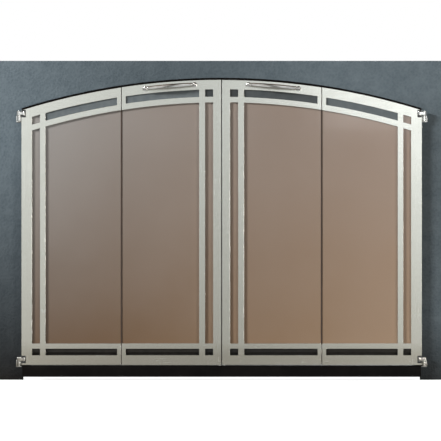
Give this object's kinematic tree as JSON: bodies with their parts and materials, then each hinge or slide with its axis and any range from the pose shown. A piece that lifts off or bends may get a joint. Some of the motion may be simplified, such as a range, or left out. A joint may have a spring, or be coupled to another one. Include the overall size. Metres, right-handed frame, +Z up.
{
  "type": "fireplace screen",
  "caption": "Arched bifold glass fireplace screen: slotted nickel overlay doors that swing and fold on hinges, bow handles, sill guide track, header and surround plate.",
  "frame": {"origin": "on the hearth under the legs, midway across the width and midway through the depth", "axes": "+X to the right of someone facing the doors, +Y into the firebox, +Z up"},
  "size_m": [1.14, 0.096, 0.814],
  "materials": {
    "slate_powder_coat": "hammered dark slate powder coat",
    "black_frame": "satin black paint",
    "brushed_nickel": "satin nickel, finely brushed",
    "slate_subframe": "dark slate powder coat",
    "bronze_glass": "bronze-tinted, polished",
    "polished_chrome": "polished",
    "zinc_plate": "zinc plated",
    "black_plastic": "matte black"
  },
  "bodies": {
    "frame": {"surround_plate": "slate_powder_coat", "arch_header": "black_frame", "bottom_sill": "black_frame", "magnet_catch": "black_plastic", "left_jamb": "black_frame", "left_lintel_clamp": "zinc_plate", "left_top_hinge_post": "polished_chrome", "left_bottom_hinge_post": "polished_chrome", "right_jamb": "black_frame", "right_lintel_clamp": "zinc_plate", "right_top_hinge_post": "polished_chrome", "right_bottom_hinge_post": "polished_chrome"},
    "left_outer_panel": {"left_outer_overlay": "brushed_nickel", "left_outer_subframe": "slate_subframe", "left_outer_glass": "bronze_glass", "left_outer_top_glass_retainer": "slate_subframe", "left_outer_bottom_glass_retainer": "slate_subframe", "left_top_hinge_leaf": "polished_chrome", "left_bottom_hinge_leaf": "polished_chrome", "left_top_fold_hinge_outer_leaf": "zinc_plate", "left_bottom_fold_hinge_outer_leaf": "zinc_plate", "left_top_fold_hinge_pin": "zinc_plate", "left_bottom_fold_hinge_pin": "zinc_plate"},
    "left_inner_panel": {"left_inner_overlay": "brushed_nickel", "left_inner_subframe": "slate_subframe", "left_inner_glass": "bronze_glass", "left_inner_top_glass_retainer": "slate_subframe", "left_inner_bottom_glass_retainer": "slate_subframe", "left_top_fold_hinge_inner_leaf": "zinc_plate", "left_bottom_fold_hinge_inner_leaf": "zinc_plate", "left_guide_pin": "zinc_plate", "left_strike_plate": "zinc_plate", "left_handle_bar": "polished_chrome", "left_handle_near_post": "polished_chrome", "left_handle_far_post": "polished_chrome"},
    "right_outer_panel": {"right_outer_overlay": "brushed_nickel", "right_outer_subframe": "slate_subframe", "right_outer_glass": "bronze_glass", "right_outer_top_glass_retainer": "slate_subframe", "right_outer_bottom_glass_retainer": "slate_subframe", "right_top_hinge_leaf": "polished_chrome", "right_bottom_hinge_leaf": "polished_chrome", "right_top_fold_hinge_outer_leaf": "zinc_plate", "right_bottom_fold_hinge_outer_leaf": "zinc_plate", "right_top_fold_hinge_pin": "zinc_plate", "right_bottom_fold_hinge_pin": "zinc_plate"},
    "right_inner_panel": {"right_inner_overlay": "brushed_nickel", "right_inner_subframe": "slate_subframe", "right_inner_glass": "bronze_glass", "right_inner_top_glass_retainer": "slate_subframe", "right_inner_bottom_glass_retainer": "slate_subframe", "right_top_fold_hinge_inner_leaf": "zinc_plate", "right_bottom_fold_hinge_inner_leaf": "zinc_plate", "right_guide_pin": "zinc_plate", "right_strike_plate": "zinc_plate", "right_handle_bar": "polished_chrome", "right_handle_near_post": "polished_chrome", "right_handle_far_post": "polished_chrome"}
  },
  "joints": [
    {"name": "left_door_swing", "type": "hinge", "parent": "frame", "child": "left_outer_panel", "pos_m": [-0.5145, -0.015, 0.36], "axis": [0, 0, -1], "range_deg": [0, 88]},
    {"name": "left_door_fold", "type": "hinge", "parent": "left_outer_panel", "child": "left_inner_panel", "pos_m": [-0.26025, -0.0044, 0.36], "axis": [0, 0, 1], "range_deg": [0, 176]},
    {"name": "right_door_swing", "type": "hinge", "parent": "frame", "child": "right_outer_panel", "pos_m": [0.5145, -0.015, 0.36], "axis": [0, 0, 1], "range_deg": [0, 88]},
    {"name": "right_door_fold", "type": "hinge", "parent": "right_outer_panel", "child": "right_inner_panel", "pos_m": [0.26025, -0.0044, 0.36], "axis": [0, 0, -1], "range_deg": [0, 176]}
  ],
  "couplings": [
    {"joint": "left_door_fold", "follows": "left_door_swing", "ratio": 2},
    {"joint": "right_door_fold", "follows": "right_door_swing", "ratio": 2}
  ]
}
